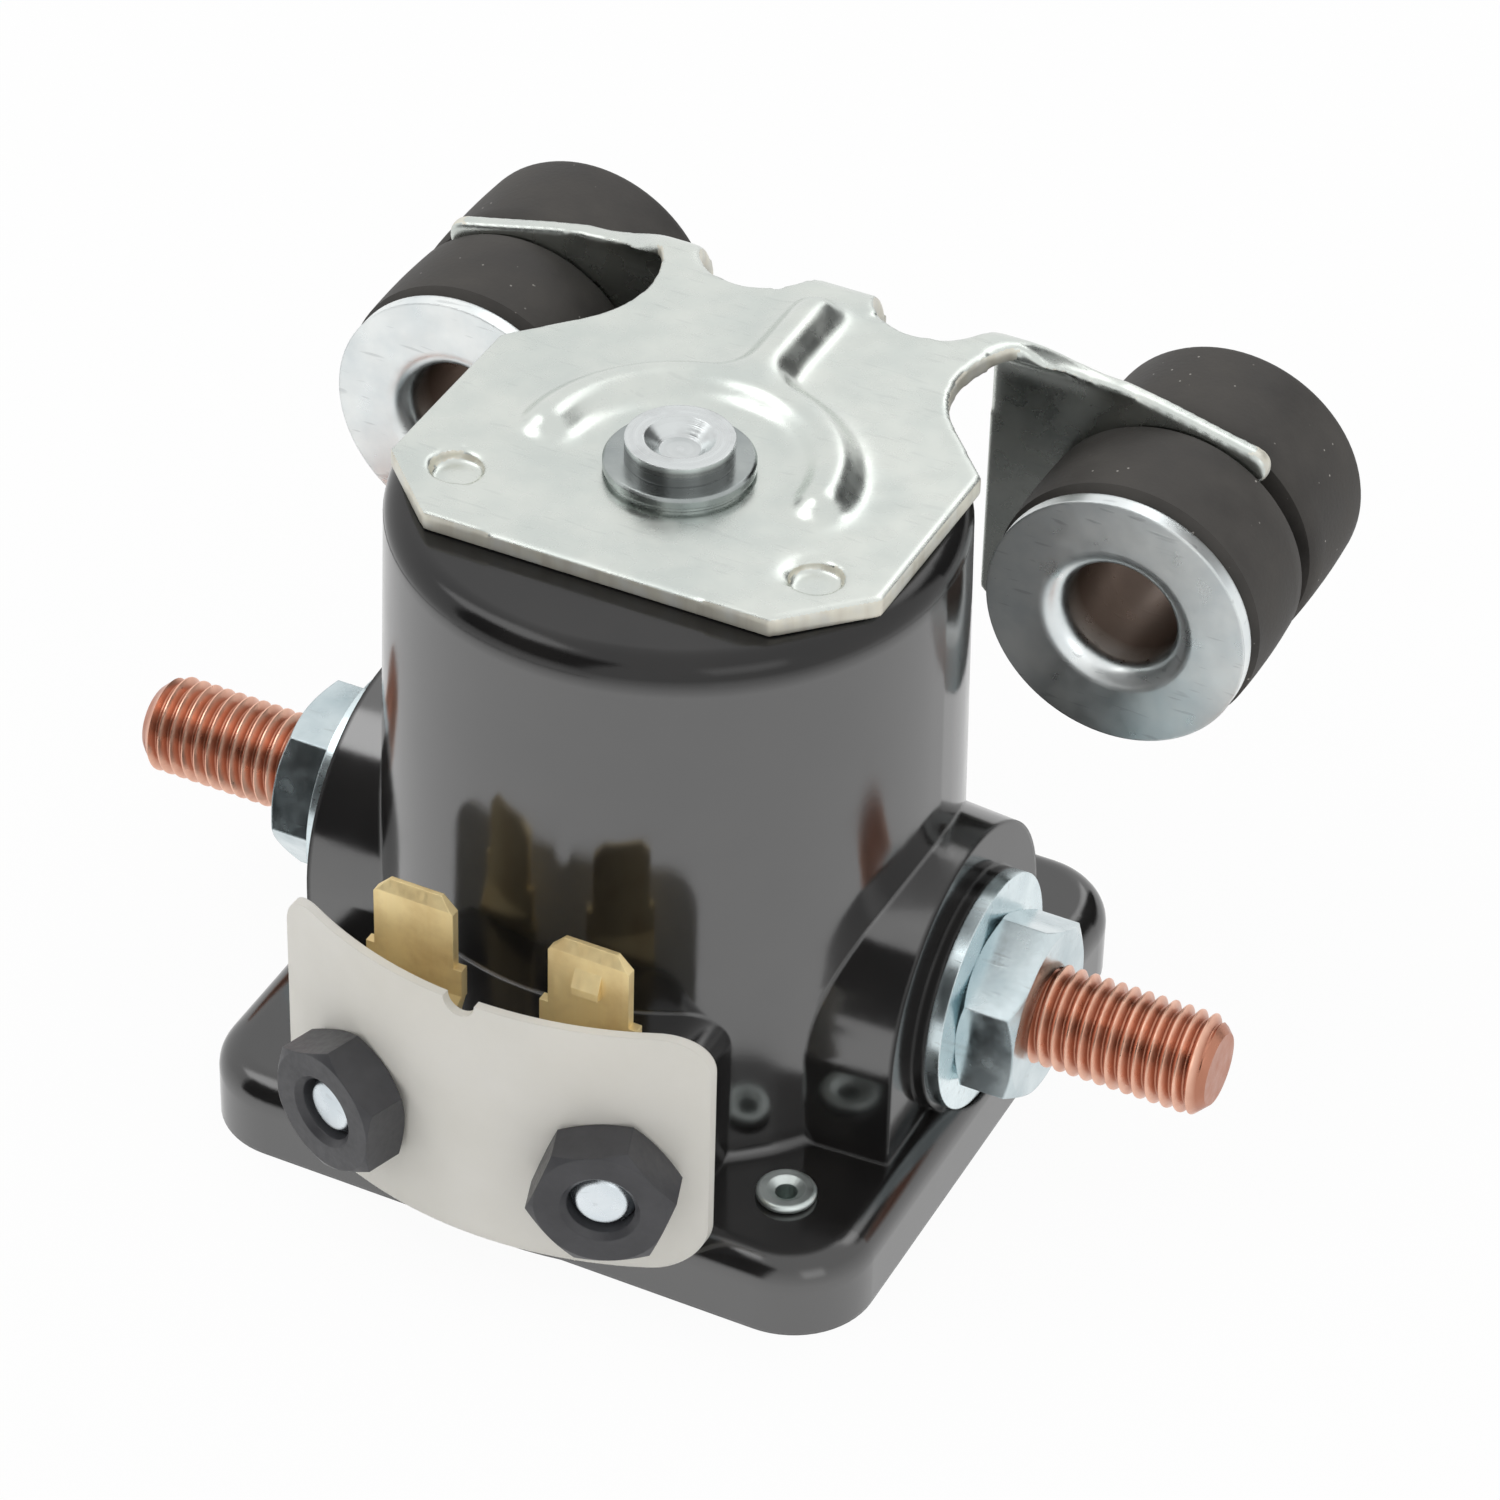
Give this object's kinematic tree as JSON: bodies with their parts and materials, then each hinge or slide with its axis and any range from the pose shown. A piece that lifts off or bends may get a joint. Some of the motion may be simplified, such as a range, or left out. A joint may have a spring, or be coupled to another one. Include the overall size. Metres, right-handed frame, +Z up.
{
  "type": "glow plug relay",
  "caption": "Moulded solenoid relay with side power studs, two front blade terminals and a steel bracket on rubber isolators.",
  "frame": {"origin": "centre of the square base on its underside, where the axis of the round body meets it", "axes": "+Z up along the body axis to the bracket, +X along the power studs, +Y to the rubber isolators, the blade terminals at -Y"},
  "size_m": [0.0886, 0.0744, 0.0549],
  "materials": {
    "housing_phenolic": "gloss",
    "cover_phenolic": "matte",
    "gasket_fibre": "matte",
    "rivet_zinc": "satin",
    "bracket_zinc": "satin",
    "core_steel": "satin",
    "washer_zinc": "satin",
    "magnet_steel": "satin",
    "bobbin_nylon": "matte",
    "winding_copper": "gloss",
    "rod_steel": "satin",
    "spring_steel": "satin",
    "contact_copper": "satin",
    "bush_fibre": "matte",
    "stud_copper": "satin",
    "nut_zinc": "satin",
    "terminal_zinc": "satin",
    "blade_brass": "satin",
    "sheet_nylon": "satin",
    "nut_nylon": "satin",
    "isolator_rubber": "matte",
    "sleeve_zinc": "satin"
  },
  "bodies": {
    "relay_frame": {"housing": "housing_phenolic", "bottom_cover": "cover_phenolic", "base_gasket": "gasket_fibre", "cover_rivets": "rivet_zinc", "mounting_bracket": "bracket_zinc", "pole_core": "core_steel", "core_washer": "washer_zinc", "flux_can": "magnet_steel", "flux_plate": "magnet_steel", "bobbin": "bobbin_nylon", "coil_winding": "winding_copper", "coil_leads": "winding_copper", "return_spring": "spring_steel", "stud_left": "stud_copper", "stud_right": "stud_copper", "stud_washers": "washer_zinc", "stud_nuts": "nut_zinc", "control_stud_left": "terminal_zinc", "control_stud_right": "terminal_zinc", "blade_left": "blade_brass", "blade_right": "blade_brass", "terminal_nuts": "terminal_zinc", "insulator_sheet": "sheet_nylon", "nylon_nuts": "nut_nylon", "isolator_left": "isolator_rubber", "isolator_right": "isolator_rubber", "sleeve_left": "sleeve_zinc", "sleeve_right": "sleeve_zinc"},
    "armature": {"plunger": "magnet_steel", "plunger_rod": "rod_steel", "rod_clip": "spring_steel", "overtravel_spring": "spring_steel"},
    "moving_contact": {"contact_disc": "contact_copper", "disc_bush_upper": "bush_fibre", "disc_bush_lower": "bush_fibre"}
  },
  "joints": [
    {"name": "plunger_slide", "type": "slide", "parent": "relay_frame", "child": "armature", "axis": [0, 0, 1], "range_m": [0, 0.0025], "stiffness_N_per_m": 300, "springref_m": -0.004, "deforming": ["return_spring"]},
    {"name": "disc_overtravel", "type": "slide", "parent": "armature", "child": "moving_contact", "axis": [0, 0, 1], "range_m": [-0.00055, 0], "deforming": ["overtravel_spring"]}
  ],
  "couplings": [
    {"joint": "disc_overtravel", "follows": "plunger_slide", "ratio": -0.22}
  ]
}
